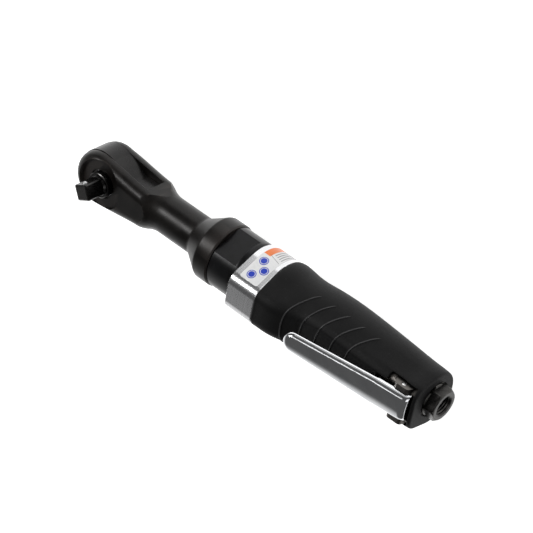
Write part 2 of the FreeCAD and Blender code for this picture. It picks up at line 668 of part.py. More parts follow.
def make_rear_end_plate():
    plate = rod_x(MOTOR_R, LINER_TO, REAR_PLATE_TO)
    pocket = rod_x(MOTOR_BEARING_R, LINER_TO + 2.0, REAR_PLATE_TO + 1)
    plate = plate.cut(pocket).cut(pin_hole_x())
    plate = plate.cut(rod_x(ROTOR_SHAFT_R + 0.5, LINER_TO - 1, REAR_PLATE_TO + 1))
    for side in (1, -1):
        for angle in (-25, -45):
            port = rod_x(1.5, LINER_TO - 1, REAR_PLATE_TO + 1, 11.6)
            port.rotate(V(0, 0, 0), X_AXIS, angle if side > 0 else 180 - angle)
            plate = plate.cut(port)
    return plate


def make_rear_bearing():
    x0 = LINER_TO + 2.05
    return ball_bearing(x0, x0 + MOTOR_BEARING_W, MOTOR_BEARING_R - 0.01, ROTOR_SHAFT_R + 0.02)


def make_motor_clamp_washer():
    return ring_x(MOTOR_R, 10.4, REAR_PLATE_TO + 0.05, BORE_END - 0.05)


# ---- motor housing and its outside -----------------------------------------------------------------
# the housing under the grip: x, round radius, then the lobe corner's y, z and radius
GRIP_SECTIONS = [(BAND_TO, 17.8, 5.5, 16.8, 5.6), (132.5, 18.3, 5.5, 16.7, 5.6),
                 (141.0, 17.3, 5.5, 16.1, 5.6), (147.0, 17.1, 5.8, 14.0, 5.6),
                 (155.0, 17.6, 6.2, 11.2, 5.8), (168.0, 18.1, 7.2, 10.2, 6.8),
                 (183.0, 17.7, 7.0, 10.2, 6.8), (198.0, 16.8, 6.6, 10.4, 6.5),
                 (212.0, 15.8, 6.5, 10.8, 6.2), (226.0, 14.8, 6.4, 11.0, 6.0),
                 (BODY_END, 14.1, 6.2, 10.9, 5.8)]
FLAT_Z = 16.4             # flat under the lever on the metal housing
FLAT_HALF_W = 10.5        # half width of the flat in the grip
PIVOT_FLAT_Z = 12.4


def loft_sections(sections, grow=0.0):
    return Part.makeLoft([lobe_wire(*section, grow) for section in sections], True, False)


def lever_lug(side):
    """Ear on the housing that carries the lever pin."""
    y0, y1 = sorted((side * LUG_IN, side * LUG_OUT))
    outline = [V(LEVER_PIN_X - 7.0, y0, 6.0), V(LEVER_PIN_X - 7.0, y0, 12.0), V(LEVER_PIN_X - 4.2, y0, 19.0),
               V(LEVER_PIN_X + 4.4, y0, 19.0), V(BODY_END - 1.5, y0, 11.5), V(BODY_END - 1.5, y0, 6.0)]
    lug = prism(outline, V(0, y1 - y0, 0))
    return rounded(lug, 2.2, lambda e: abs(e.CenterOfMass.z - 19.0) < 0.01 and
                   abs(e.CenterOfMass.y - (y0 + y1) / 2) < 0.01)


def make_motor_housing():
    band = Part.Face(lobe_wire(BAND_FROM, *BAND_SECTION)).extrude(V(BAND_TO - BAND_FROM, 0, 0))
    band = bevelled(band, 0.5, lambda e: abs(e.CenterOfMass.x - BAND_FROM) < 0.01 or
                    abs(e.CenterOfMass.x - BAND_TO) < 0.01)
    body = loft_sections(GRIP_SECTIONS)
    flat = block(153.5, 220.0, -15, 15, FLAT_Z, 40)
    pivot_flat = block(209.5, BODY_END + 1, -LUG_IN - 0.05, LUG_IN + 0.05, PIVOT_FLAT_Z, 40)
    solid = fused([band, body]).cut(flat)
    solid = fused([solid, lever_lug(1), lever_lug(-1)]).cut(pivot_flat)
    bores = [rod_x(ADAPTER_R + 0.02, BAND_FROM - 1, FRONT_PLATE_FROM),
             rod_x(MOTOR_R + 0.02, BAND_FROM, BORE_END), rod_x(5.0, BORE_END - 1, VALVE_SEAT_X),
             rod_x(9.0, BORE_END - 0.1, BORE_END + 2.4),
             rod_x(CHAMBER_R, VALVE_SEAT_X - 2.5, BODY_END + 1),
             rod_y(LEVER_PIN_R, -20, 20, LEVER_PIN_X, LEVER_PIN_Z),
             rod_z(3.0, 6.0, 30, PIN_X), rod_z(2.0, 3.0, 30, PIN_X)]
    for bore in bores:
        solid = solid.cut(bore)
    chamber = block(BAND_FROM + 1.6, 134.0, -6.0, 6.0, 16.9, 21.2)
    mouth = block(BAND_FROM - 1, BAND_FROM + 2, -5.2, 5.2, 18.0, 20.8)
    port = block(124.0, 133.0, -4.5, 4.5, 13.0, 17.2)
    return solid.cut(chamber).cut(mouth).cut(port).removeSplitter()


def make_exhaust_silencer():
    """Porous block that fills the exhaust chamber behind the screen."""
    return block(BAND_FROM + 3.0, 133.9, -5.9, 5.9, 17.0, 21.1)


def make_exhaust_screen():
    screen = block(BAND_FROM + 1.7, BAND_FROM + 2.6, -5.9, 5.9, 17.0, 21.1)
    for i in range(6):
        for j in range(2):
            hole = rod_x(0.6, BAND_FROM, BAND_FROM + 4, -4.25 + 1.7 * i, 18.7 + 1.5 * j)
            screen = screen.cut(hole)
    return screen


def make_grip_boot():
    """Stretch-fit rubber grip with a flat under the lever, an end wall and a pocket at the lever's pivot."""
    front = (GRIP_SECTIONS[0][0] + 0.1,) + GRIP_SECTIONS[0][1:]
    rear = GRIP_SECTIONS[-1][1:]
    inner = loft_sections([front] + GRIP_SECTIONS[1:-1] + [(BODY_END + GAP,) + rear], GAP)
    outer = loft_sections([front] + GRIP_SECTIONS[1:-1] + [(BOOT_END,) + rear], GRIP_T)
    outer = softened(outer, 1.4, lambda e: abs(e.CenterOfMass.x - BOOT_END) < 0.01)
    flat_top = FLAT_Z + GRIP_T
    ramp = [(142.0, flat_top + 6), (156.0, flat_top), (221.0, flat_top), (221.0, 40.0), (142.0, 40.0)]
    boot = outer.cut(prism([V(x, -FLAT_HALF_W, z) for x, z in ramp], V(0, 2 * FLAT_HALF_W, 0))).cut(inner)
    pad = block(153.6, 219.9, -15, 15, FLAT_Z + GAP, flat_top).common(outer)
    boot = fused([boot, pad]).cut(rod_z(4.2, 10, 30, PIN_X)).cut(rod_x(10.4, BODY_END - 1, BOOT_END + 1))
    ear_slot = block(209.4, BODY_END - 0.2, -LUG_IN - 0.2, LUG_IN + 0.2, 5.0, 40)
    pocket = block(LEVER_PIN_X - 9.5, BODY_END - 0.2, -LUG_OUT - 1.0, LUG_OUT + 1.0, 5.0, 40)
    return boot.cut(ear_slot).cut(pocket)


LABEL_FROM, LABEL_TO = 112.5, 127.0
LABEL_T, GLUE_GAP = 0.12, 0.02


def make_info_label():
    """Thin sticker wrapped on the band's flat beside the lobe."""
    length = V(LABEL_TO - LABEL_FROM, 0, 0)
    outer = Part.Face(lobe_wire(LABEL_FROM, *BAND_SECTION, LABEL_T)).extrude(length)
    inner = Part.Face(lobe_wire(LABEL_FROM, *BAND_SECTION, GLUE_GAP)).extrude(length)
    skin = outer.cut(inner)
    return skin.common(block(BAND_FROM, BAND_TO, 9.0, 30, -12.0, 22.5))


# ---- throttle --------------------------------------------------------------------------------------
def lever_top_z(x):
    run = (x - LEVER_FRONT_X) / (LEVER_PIN_X - LEVER_FRONT_X)
    return LEVER_FRONT_Z + (LEVER_REAR_Z - LEVER_FRONT_Z) * run


def lever_plan(inset, length):
    """Outline of the lever seen from above as a tall solid: round tip, tapered sides, parallel ears."""
    tip_r, half = LEVER_TIP_R - inset, LEVER_HALF_W - inset
    centre_x = LEVER_FRONT_X + LEVER_TIP_R
    run = LEVER_EAR_X - centre_x
    lean = math.atan2(half, run) + math.acos(tip_r / math.hypot(run, half))
    near = V(centre_x + tip_r * math.cos(lean), tip_r * math.sin(lean), 0)
    wide = V(LEVER_EAR_X, half, 0)
    back = V(LEVER_REAR_X + length, half, 0)
    near_2, wide_2, back_2 = [V(p.x, -p.y, 0) for p in (near, wide, back)]
    wire = Part.Wire([Part.Arc(near_2, V(centre_x - tip_r, 0, 0), near).toShape(), Part.makeLine(near, wide),
                      Part.makeLine(wide, back), Part.makeLine(back, back_2), Part.makeLine(back_2, wide_2),
                      Part.makeLine(wide_2, near_2)])
    return Part.Face(wire).extrude(V(0, 0, 40))


def lever_side(points):
    """Solid across the lever's full width from side-view (x, z) points."""
    return prism([V(x, -LEVER_HALF_W, z) for x, z in points], V(0, 2 * LEVER_HALF_W, 0))


def make_throttle_lever():
    """Pressed channel: a top plate with rolled edges, and side flanges that deepen to the pivot ears."""
    x0, x1 = LEVER_FRONT_X, LEVER_REAR_X
    flange = [(x, lever_top_z(x) - 2.2) for x in (LEVER_EAR_X, x0)]
    ear = [(x1 - 0.8, 14.4), (LEVER_PIN_X - 1.0, 12.6), (LEVER_PIN_X - 6.0, 14.6)]
    bar = lever_side([(x0, lever_top_z(x0)), (x1, lever_top_z(x1))] + ear + flange).common(lever_plan(0, 1))
    bar = rounded(bar, 3.0, lambda e: e.Length > 15 and e.CenterOfMass.x < x1 - 1 and
                  e.CenterOfMass.z > lever_top_z(e.CenterOfMass.x) - 0.3)
    under = [(x, lever_top_z(x) - SHEET) for x in (x0, x1 + 1)]
    hollow = lever_side(under + [(x1 + 1, 5.0), (x0, 5.0)]).common(lever_plan(SHEET, 2))
    return bar.cut(hollow).cut(rod_y(LEVER_PIN_R + RUN, -20, 20, LEVER_PIN_X, LEVER_PIN_Z))


def make_lever_pin():
    pin = rod_y(LEVER_PIN_R, -LUG_OUT + 0.3, LUG_OUT - 0.3, LEVER_PIN_X, LEVER_PIN_Z)
    return bevelled(pin, 0.3, lambda e: e.isClosed())


def lever_under_z(x):
    return lever_top_z(x) - SHEET


def make_throttle_pin():
    low = 1.5 + 0.1
    high = lever_under_z(PIN_X) - 0.15
    pin = rod_z(THROTTLE_PIN_R, low, high - 0.8, PIN_X)
    cap = Part.makeSphere(3.0, V(PIN_X, 0, high - 3.0)).common(rod_z(THROTTLE_PIN_R, low + 5.0, high, PIN_X))
    return fused([pin, cap])


def make_throttle_pin_bushing():
    return rod_z(3.0, 6.05, FLAT_Z + 0.6, PIN_X).cut(rod_z(THROTTLE_PIN_R + RUN, 0, 30, PIN_X)).cut(
        rod_z(2.6, 9.0, 11.2, PIN_X))


def make_throttle_pin_seal():
    return Part.makeTorus(2.2, 0.38, V(PIN_X, 0, 10.1), Z_AXIS)


def make_tilt_valve():
    """Valve disc on the seat with a stem reaching forward under the throttle pin."""
    head = turned_x([(VALVE_SEAT_X + 0.06, VALVE_R - 0.3), (VALVE_SEAT_X + 0.5, VALVE_R),
                     (VALVE_SEAT_X + 1.8, VALVE_R), (VALVE_SEAT_X + 1.8, 2.6), (VALVE_SEAT_X + 3.0, 2.2)])
    stem = rod_x(1.5, PIN_X - 3.0, VALVE_SEAT_X + 1.0)
    return fused([head, stem])


def make_valve_seat():
    return ring_x(CHAMBER_R - 0.02, 4.4, VALVE_SEAT_X - 2.45, VALVE_SEAT_X)


def make_valve_spring():
    """Spring between the valve's back and the inlet bushing."""
    return coil(4.4, 0.35, 1.6, 6.6, V(VALVE_SEAT_X + 2.25, 0, 0), X_AXIS)


# ---- air inlet -------------------------------------------------------------------------------------
def make_air_inlet_bushing():
    """Hexagonal bushing with a 1/4 in pipe thread, drawn as a plain bore of the thread's minor radius."""
    hexagon = hexagon_x(INLET_FLATS, HEX_FROM, HEX_TO)
    corner = INLET_FLATS / 2 / math.cos(math.radians(30))
    turned = turned_x([(HEX_FROM - 1, corner + 1), (HEX_TO - 1.9, corner + 0.2),
                       (HEX_TO, INLET_FLATS / 2 - 0.3)])
    hexagon = hexagon.common(turned)
    thread = turned_x([(INLET_FROM, CHAMBER_R - 0.6), (INLET_FROM + 0.6, CHAMBER_R - 0.02),
                       (HEX_FROM + 0.2, CHAMBER_R - 0.02)])
    mouth = turned_x([(HEX_TO - 0.9, INLET_BORE_R), (HEX_TO + 0.1, INLET_BORE_R + 1.0)])
    bore = rod_x(INLET_BORE_R, INLET_FROM - 1, HEX_TO + 1)
    screen_seat = rod_x(SCREEN_R, INLET_FROM - 1, SCREEN_TO)
    collar = rod_x(COLLAR_OUT_R, SEAL_TO, HEX_FROM + 0.2)
    return fused([hexagon, collar, thread]).cut(mouth).cut(bore).cut(screen_seat)


def make_inlet_seal():
    return ring_x(COLLAR_OUT_R + 0.1, CHAMBER_R + 0.02, BODY_END + 0.02, SEAL_TO - 0.02)


def make_inlet_screen():
    """Cup-shaped strainer pressed in the bushing's inner end."""
    wall = ring_x(SCREEN_R - 0.02, SCREEN_R - 0.4, INLET_FROM + 0.2, SCREEN_TO - 0.05)
    disc = rod_x(SCREEN_R - 0.1, INLET_FROM + 0.2, INLET_FROM + 0.6)
    holes = []
    for i in range(-3, 4):
        for j in range(-3, 4):
            if math.hypot(i, j) < 3.2:
                holes.append(rod_x(0.5, INLET_FROM, INLET_FROM + 1, 1.55 * i, 1.55 * j))
    screen = fused([wall, disc])
    return screen.cut(Part.makeCompound(holes))


# ---- output ----------------------------------------------------------------------------------------
PARTS = {
    "ratchet_housing": make_ratchet_housing,
    "ratchet_yoke": make_ratchet_yoke,
    "drive_spindle": make_drive_spindle,
    "drive_pawl": make_drive_pawl,
    "pawl_pin": make_pawl_pin,
    "reverse_knob": make_reverse_knob,
    "pawl_plunger": make_pawl_plunger,
    "plunger_spring": make_plunger_spring,
    "socket_detent_ball": make_socket_detent_ball,
    "detent_spring": make_detent_spring,
    "spindle_thrust_washer": make_spindle_thrust_washer,
    "spindle_wave_washer": make_spindle_wave_washer,
    "spindle_retaining_ring": make_spindle_retaining_ring,
    "crank_spindle": make_crank_spindle,
    "drive_bushing": make_drive_bushing,
    "crank_bearing": make_crank_bearing,
    "planet_pins": make_planet_pins,
    "ring_gear": make_ring_gear,
    "coupling_nut": make_coupling_nut,
    "nut_retaining_ring": make_nut_retaining_ring,
    "gear_thrust_washer": make_gear_thrust_washer,
    "motor_adapter": make_motor_adapter,
    "front_end_plate": make_front_end_plate,
    "front_bearing": make_front_bearing,
    "cylinder_pin": make_cylinder_pin,
    "cylinder_liner": make_cylinder_liner,
    "rotor": make_rotor,
    "rear_end_plate": make_rear_end_plate,
    "rear_bearing": make_rear_bearing,
    "motor_clamp_washer": make_motor_clamp_washer,
    "motor_housing": make_motor_housing,
    "exhaust_silencer": make_exhaust_silencer,
    "exhaust_screen": make_exhaust_screen,
    "grip_boot": make_grip_boot,
    "info_label": make_info_label,
    "throttle_lever": make_throttle_lever,
    "lever_pin": make_lever_pin,
    "throttle_pin": make_throttle_pin,
    "throttle_pin_bushing": make_throttle_pin_bushing,
    "throttle_pin_seal": make_throttle_pin_seal,
    "tilt_valve": make_tilt_valve,
    "valve_seat": make_valve_seat,
    "valve_spring": make_valve_spring,
    "air_inlet_bushing": make_air_inlet_bushing,
    "inlet_seal": make_inlet_seal,
    "inlet_screen": make_inlet_screen,
}


def write(node, shape):
    solids = shape.Solids
    result = solids[0] if len(solids) == 1 else Part.makeCompound(solids)
    assert solids and result.isValid(), node
    result.exportStep(f"parts/{node}.step")
    print(node, len(solids), round(result.Volume, 1))


os.makedirs("parts", exist_ok=True)
for node_name, make in PARTS.items():
    write(node_name, make())
for number in range(PLANETS):
    write(f"planet_gear_{number + 1}", make_planet_gear(number))
for number in range(VANES):
    write(f"rotor_vane_{number + 1}", make_rotor_vane(number))
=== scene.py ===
import json
import math

import bmesh
import bpy
from mathutils import Matrix, Vector
from mathutils.bvhtree import BVHTree

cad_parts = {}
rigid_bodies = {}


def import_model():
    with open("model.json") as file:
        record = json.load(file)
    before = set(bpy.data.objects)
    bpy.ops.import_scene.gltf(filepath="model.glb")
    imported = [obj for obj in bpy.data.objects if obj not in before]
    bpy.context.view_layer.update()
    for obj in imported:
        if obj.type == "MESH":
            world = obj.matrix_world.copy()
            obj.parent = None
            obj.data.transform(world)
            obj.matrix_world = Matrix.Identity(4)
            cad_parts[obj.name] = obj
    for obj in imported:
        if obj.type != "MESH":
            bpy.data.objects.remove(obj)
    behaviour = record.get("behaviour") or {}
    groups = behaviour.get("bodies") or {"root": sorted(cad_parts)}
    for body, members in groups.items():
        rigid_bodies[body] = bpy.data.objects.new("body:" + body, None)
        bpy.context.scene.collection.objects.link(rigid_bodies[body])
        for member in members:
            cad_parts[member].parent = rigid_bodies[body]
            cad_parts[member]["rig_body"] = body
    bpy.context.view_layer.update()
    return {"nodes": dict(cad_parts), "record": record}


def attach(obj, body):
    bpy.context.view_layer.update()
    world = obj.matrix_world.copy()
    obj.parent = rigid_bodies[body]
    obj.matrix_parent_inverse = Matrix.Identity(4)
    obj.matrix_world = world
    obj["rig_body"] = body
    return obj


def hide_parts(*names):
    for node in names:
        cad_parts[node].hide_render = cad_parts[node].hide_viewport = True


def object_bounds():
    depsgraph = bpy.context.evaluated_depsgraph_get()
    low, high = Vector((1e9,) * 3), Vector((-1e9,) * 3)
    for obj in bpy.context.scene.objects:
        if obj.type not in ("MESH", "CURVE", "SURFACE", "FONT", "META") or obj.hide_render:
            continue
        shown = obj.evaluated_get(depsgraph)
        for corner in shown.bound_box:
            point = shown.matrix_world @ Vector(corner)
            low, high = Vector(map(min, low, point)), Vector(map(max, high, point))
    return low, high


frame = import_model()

MM = 0.001


# ---- material helpers ------------------------------------------------------------------------------
NOISE_ROUGHNESS = 0.55
RAW_FROM_X, RAW_TO_X = 0.135, 0.15      # where the band's polish gives way to raw casting, in metres


class Recipe:
    """A node material under construction, with short calls for the nodes it needs."""

    def __init__(self, name):
        self.material = bpy.data.materials.new(name)
        self.material.use_nodes = True
        self.tree = self.material.node_tree
        self.shader = self.tree.nodes["Principled BSDF"]
        self.place = self.node("ShaderNodeTexCoord").outputs["Object"]

    def node(self, kind, **settings):
        made = self.tree.nodes.new(kind)
        for key, value in settings.items():
            setattr(made, key, value)
        return made

    def link(self, source, target):
        self.tree.links.new(source, target)

    def stretched(self, scale):
        """Object coordinates scaled per axis."""
        mapping = self.node("ShaderNodeMapping")
        mapping.inputs["Scale"].default_value = scale
        self.link(self.place, mapping.inputs["Vector"])
        return mapping.outputs["Vector"]

    def noise(self, scale, detail=4.0, stretch=None):
        made = self.node("ShaderNodeTexNoise")
        made.inputs["Scale"].default_value = scale
        made.inputs["Detail"].default_value = detail
        made.inputs["Roughness"].default_value = NOISE_ROUGHNESS
        self.link(self.stretched(stretch) if stretch else self.place, made.inputs["Vector"])
        return made.outputs["Fac"]

    def cells(self, scale):
        made = self.node("ShaderNodeTexVoronoi")
        made.inputs["Scale"].default_value = scale
        self.link(self.place, made.inputs["Vector"])
        return made.outputs["Distance"]

    def ramp(self, source, low, high, dark, light):
        """Colour ramp from dark to light between two positions."""
        made = self.node("ShaderNodeValToRGB")
        made.color_ramp.elements[0].position = low
        made.color_ramp.elements[1].position = high
        made.color_ramp.elements[0].color = (*dark, 1.0)
        made.color_ramp.elements[1].color = (*light, 1.0)
        self.link(source, made.inputs["Fac"])
        return made.outputs["Color"]

    def span(self, source, from_low, from_high, to_low, to_high):
        """A value's range mapped on to another range."""
        made = self.node("ShaderNodeMapRange")
        values = (from_low, from_high, to_low, to_high)
        for key, value in zip(("From Min", "From Max", "To Min", "To Max"), values):
            made.inputs[key].default_value = value
        self.link(source, made.inputs["Value"])
        return made.outputs["Result"]

    def mixed(self, factor, first, second):
        """First colour where the factor is 0, second where it is 1."""
        made = self.node("ShaderNodeMix", data_type="RGBA")
        self.link(factor, made.inputs["Factor"])
        self.feed(made.inputs[6], first)
        self.feed(made.inputs[7], second)
        return made.outputs[2]

    def feed(self, socket, value):
        """Sets a socket from another socket, a colour or a plain value."""
        if isinstance(value, bpy.types.NodeSocket):
            self.link(value, socket)
        elif isinstance(value, tuple):
            socket.default_value = (*value, 1.0)
        else:
            socket.default_value = value

    def edges(self, low, high):
        """1 on convex edges, 0 on flats, between two values of pointiness."""
        pointiness = self.node("ShaderNodeNewGeometry").outputs["Pointiness"]
        return self.span(pointiness, low, high, 0.0, 1.0)

    def bump(self, height, strength, distance=0.0002):
        made = self.node("ShaderNodeBump")
        made.inputs["Strength"].default_value = strength
        made.inputs["Distance"].default_value = distance
        self.link(height, made.inputs["Height"])
        self.link(made.outputs["Normal"], self.shader.inputs["Normal"])

    def surface(self, colour, metallic, roughness, **extra):
        self.feed(self.shader.inputs["Base Color"], colour)
        self.feed(self.shader.inputs["Metallic"], metallic)
        self.feed(self.shader.inputs["Roughness"], roughness)
        for key, value in extra.items():
            self.feed(self.shader.inputs[key.replace("_", " ")], value)
        return self.material


def black_oxide(name, dark, light, rough_low, rough_high):
    """Blackened steel with a fine cast grain, lighter on convex edges."""
    recipe = Recipe(name)
    cloud = recipe.noise(90.0)
    grain = recipe.noise(2600.0, detail=2.0)
    body = recipe.ramp(cloud, 0.35, 0.7, dark, light)
    colour = recipe.mixed(recipe.edges(0.53, 0.66), body, tuple(2.2 * c for c in light))
    recipe.bump(grain, 0.08, 0.0001)
    rough = recipe.span(cloud, 0.3, 0.7, rough_low, rough_high)
    return recipe.surface(colour, 0.2, rough, Specular_IOR_Level=0.24)


def turned_metal(name, base, raw, roughness):
    """Satin band with faint turning rings, left as a dark raw casting further back, under the grip."""
    recipe = Recipe(name)
    rings = recipe.noise(1.0, detail=2.0, stretch=(1500.0, 20.0, 20.0))
    cloud = recipe.noise(60.0)
    place = recipe.node("ShaderNodeSeparateXYZ")
    recipe.link(recipe.place, place.inputs[0])
    is_raw = recipe.span(place.outputs["X"], RAW_FROM_X, RAW_TO_X, 0.0, 1.0)
    bright = recipe.ramp(rings, 0.3, 0.7, tuple(0.9 * c for c in base), base)
    colour = recipe.mixed(is_raw, bright, recipe.ramp(cloud, 0.3, 0.7, tuple(0.6 * c for c in raw), raw))
    return recipe.surface(colour, 1.0, recipe.span(is_raw, 0.0, 1.0, roughness, 0.38))


def chrome_plate(name):
    """Polished plate with hairline scratches along the part."""
    recipe = Recipe(name)
    hairs = recipe.noise(1.0, detail=2.0, stretch=(90.0, 4200.0, 4200.0))
    cloud = recipe.noise(120.0)
    colour = recipe.ramp(cloud, 0.3, 0.7, (0.66, 0.67, 0.69), (0.78, 0.79, 0.8))
    return recipe.surface(colour, 1.0, recipe.span(hairs, 0.35, 0.7, 0.10, 0.15))


def moulded_rubber(name):
    """Matte rubber with a fine pitted grain, paler on convex edges."""
    recipe = Recipe(name)
    grain = recipe.noise(3200.0, detail=3.0)
    pores = recipe.cells(2100.0)
    cloud = recipe.noise(45.0)
    body = recipe.ramp(cloud, 0.3, 0.75, (0.0036, 0.0036, 0.0037), (0.0062, 0.0062, 0.0064))
    colour = recipe.mixed(recipe.edges(0.56, 0.70), body, (0.016, 0.016, 0.0165))
    height = recipe.node("ShaderNodeMath", operation="ADD")
    recipe.link(grain, height.inputs[0])
    recipe.link(pores, height.inputs[1])
    recipe.bump(height.outputs[0], 0.35, 0.00012)
    return recipe.surface(colour, 0.0, recipe.span(grain, 0.3, 0.7, 0.50, 0.68), Specular_IOR_Level=0.16)


def ground_steel(name, dark, light, roughness):
    """Machined steel with short grinding marks and mottling."""
    recipe = Recipe(name)
    marks = recipe.noise(1.0, detail=3.0, stretch=(700.0, 2600.0, 2600.0))
    cloud = recipe.noise(140.0)
    colour = recipe.mixed(recipe.edges(0.53, 0.62), recipe.ramp(cloud, 0.35, 0.65, dark, light),
                          tuple(min(1.0, 1.9 * c) for c in light))
    recipe.bump(marks, 0.05, 0.00004)
    return recipe.surface(colour, 1.0, recipe.span(marks, 0.3, 0.7, roughness * 0.8, roughness * 1.3))


def printed_film(name, colour, roughness=0.32):
    """Ink on glossy film: an even colour with a faint mottle and orange peel."""
    recipe = Recipe(name)
    mottle = recipe.noise(800.0)
    tint = recipe.ramp(mottle, 0.3, 0.7, tuple(0.93 * c for c in colour), colour)
    recipe.bump(mottle, 0.05, 0.00004)
    return recipe.surface(tint, 0.0, roughness, Coat_Weight=0.08)


def sintered(name, dark, light):
    """Porous sintered or laminated filler."""
    recipe = Recipe(name)
    pores = recipe.cells(1700.0)
    colour = recipe.ramp(pores, 0.1, 0.6, dark, light)
    recipe.bump(pores, 0.6, 0.0002)
    return recipe.surface(colour, 0.35, recipe.span(pores, 0.1, 0.6, 0.5, 0.8))


HOUSING_BLACK = black_oxide("housing_black", (0.0042, 0.0036, 0.0032), (0.0100, 0.0085, 0.0076), 0.31, 0.40)
NUT_BLACK = black_oxide("nut_black", (0.004, 0.004, 0.0045), (0.010, 0.010, 0.0105), 0.26, 0.34)
YOKE_BLACK = black_oxide("yoke_black", (0.006, 0.0055, 0.0055), (0.014, 0.013, 0.0125), 0.24, 0.32)
INLET_BLACK = ground_steel("inlet_black", (0.016, 0.0155, 0.015), (0.035, 0.034, 0.0325), 0.30)
BAND_METAL = turned_metal("band_metal", (0.66, 0.66, 0.67), (0.15, 0.14, 0.13), 0.24)
CHROME = chrome_plate("lever_chrome")
RUBBER = moulded_rubber("grip_rubber")
SEAL_RUBBER = moulded_rubber("seal_rubber")
# grip ribs: the grip's rubber painted several times lighter, a painted highlight for the light caught along
# the rib crests
RIB_RUBBER_PAINTED_HIGHLIGHT = printed_film("rib_rubber_painted_highlight", (0.024, 0.024, 0.0245), 0.5)
DRIVE_STEEL = ground_steel("drive_steel", (0.018, 0.0175, 0.0175), (0.040, 0.039, 0.0385), 0.26)
PLAIN_STEEL = ground_steel("plain_steel", (0.42, 0.42, 0.43), (0.58, 0.58, 0.59), 0.28)
DARK_STEEL = ground_steel("dark_steel", (0.05, 0.05, 0.05), (0.10, 0.10, 0.10), 0.36)
SPRING_STEEL = ground_steel("spring_steel", (0.26, 0.26, 0.28), (0.38, 0.38, 0.40), 0.30)
CAST_METAL = ground_steel("cast_metal", (0.20, 0.20, 0.20), (0.32, 0.32, 0.32), 0.45)
BRONZE = sintered("sintered_bronze", (0.10, 0.06, 0.03), (0.48, 0.33, 0.16))
VANE_LAMINATE = sintered("vane_laminate", (0.10, 0.05, 0.02), (0.28, 0.16, 0.07))
WHITE_FILM = printed_film("white_film", (0.80, 0.80, 0.80))
BLUE_INK = printed_film("blue_ink", (0.010, 0.040, 0.46))
ORANGE_INK = printed_film("orange_ink", (0.86, 0.19, 0.022))
GREY_INK = printed_film("grey_ink", (0.16, 0.16, 0.165))

NODE_MATERIALS = {
    "ratchet_housing": HOUSING_BLACK, "reverse_knob": HOUSING_BLACK, "coupling_nut": NUT_BLACK,
    "ratchet_yoke": YOKE_BLACK, "motor_housing": BAND_METAL, "motor_adapter": CAST_METAL,
    "throttle_lever": CHROME, "grip_boot": RUBBER, "info_label": WHITE_FILM,
    "throttle_pin_seal": SEAL_RUBBER, "inlet_seal": SEAL_RUBBER, "valve_seat": SEAL_RUBBER,
    "drive_spindle": DRIVE_STEEL, "socket_detent_ball": PLAIN_STEEL, "air_inlet_bushing": INLET_BLACK,
    "front_end_plate": CAST_METAL, "rear_end_plate": CAST_METAL, "exhaust_silencer": BRONZE,
    "throttle_pin_bushing": BRONZE, "valve_spring": SPRING_STEEL, "plunger_spring": SPRING_STEEL,
    "detent_spring": SPRING_STEEL, "spindle_wave_washer": SPRING_STEEL, "spindle_thrust_washer": YOKE_BLACK,
    "spindle_retaining_ring": YOKE_BLACK, "nut_retaining_ring": SPRING_STEEL, "inlet_screen": DARK_STEEL,
}


def material_of(node):
    if node.startswith("rotor_vane"):
        return VANE_LAMINATE
    return NODE_MATERIALS.get(node, PLAIN_STEEL)


# ---- mesh helpers ----------------------------------------------------------------------------------
NODE_SMOOTH_ANGLE, FINISH_SMOOTH_ANGLE, LEVER_SMOOTH_ANGLE = 30.0, 40.0, 35.0
WELD = 2e-6                             # points closer than this are joined, in metres
FLAT_ANGLE = 0.6                        # faces within this angle of one another become one
BEVEL_SEGMENTS, BEVEL_FROM_ANGLE = 3, 28.0
EVEN_WEIGHT = 80


def add_piece(name, verts, faces, material, body, smooth_angle):
    """New mesh piece from millimetre points, riding on a body."""
    mesh = bpy.data.meshes.new(name)
    mesh.from_pydata([Vector(v) * MM for v in verts], [], faces)
    piece = bpy.data.objects.new(name, mesh)
    bpy.context.scene.collection.objects.link(piece)
    tidy_normals(piece, smooth_angle)
    mesh.materials.append(material)
    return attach(piece, body)


def tidy_normals(piece, smooth_angle):
    """Welds doubled points, turns the faces outward and shades smooth up to an angle."""
    mesh = piece.data
    work = bmesh.new()
    work.from_mesh(mesh)
    bmesh.ops.remove_doubles(work, verts=work.verts, dist=1e-7)
    bmesh.ops.recalc_face_normals(work, faces=work.faces)
    work.to_mesh(mesh)
    work.free()
    mesh.polygons.foreach_set("use_smooth", [True] * len(mesh.polygons))
    mesh.set_sharp_from_angle(angle=math.radians(smooth_angle))


def finished_copy(node, name, bevel):
    """A copy of a CAD node with even shading and, with a bevel, rounded edges; it stands for the node."""
    source = frame["nodes"][node]
    piece = bpy.data.objects.new(name, source.data.copy())
    bpy.context.scene.collection.objects.link(piece)
    work = bmesh.new()
    work.from_mesh(piece.data)
    bmesh.ops.remove_doubles(work, verts=work.verts, dist=WELD)
    bmesh.ops.dissolve_limit(work, angle_limit=math.radians(FLAT_ANGLE), verts=work.verts, edges=work.edges,
                             delimit={"NORMAL"})
    work.to_mesh(piece.data)
    work.free()
    if bevel:
        rounding = piece.modifiers.new("edge_rounding", "BEVEL")
        rounding.width = bevel * MM
        rounding.segments = BEVEL_SEGMENTS
        rounding.limit_method = "ANGLE"
        rounding.angle_limit = math.radians(BEVEL_FROM_ANGLE)
        rounding.harden_normals = True
        rounding.use_clamp_overlap = True
    piece.data.polygons.foreach_set("use_smooth", [True] * len(piece.data.polygons))
    piece.data.set_sharp_from_angle(angle=math.radians(FINISH_SMOOTH_ANGLE))
    even = piece.modifiers.new("even_shading", "WEIGHTED_NORMAL")
    even.keep_sharp = True
    even.weight = EVEN_WEIGHT
    piece.data.materials.clear()
    piece.data.materials.append(material_of(node))
    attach(piece, source["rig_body"])
    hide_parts(node)


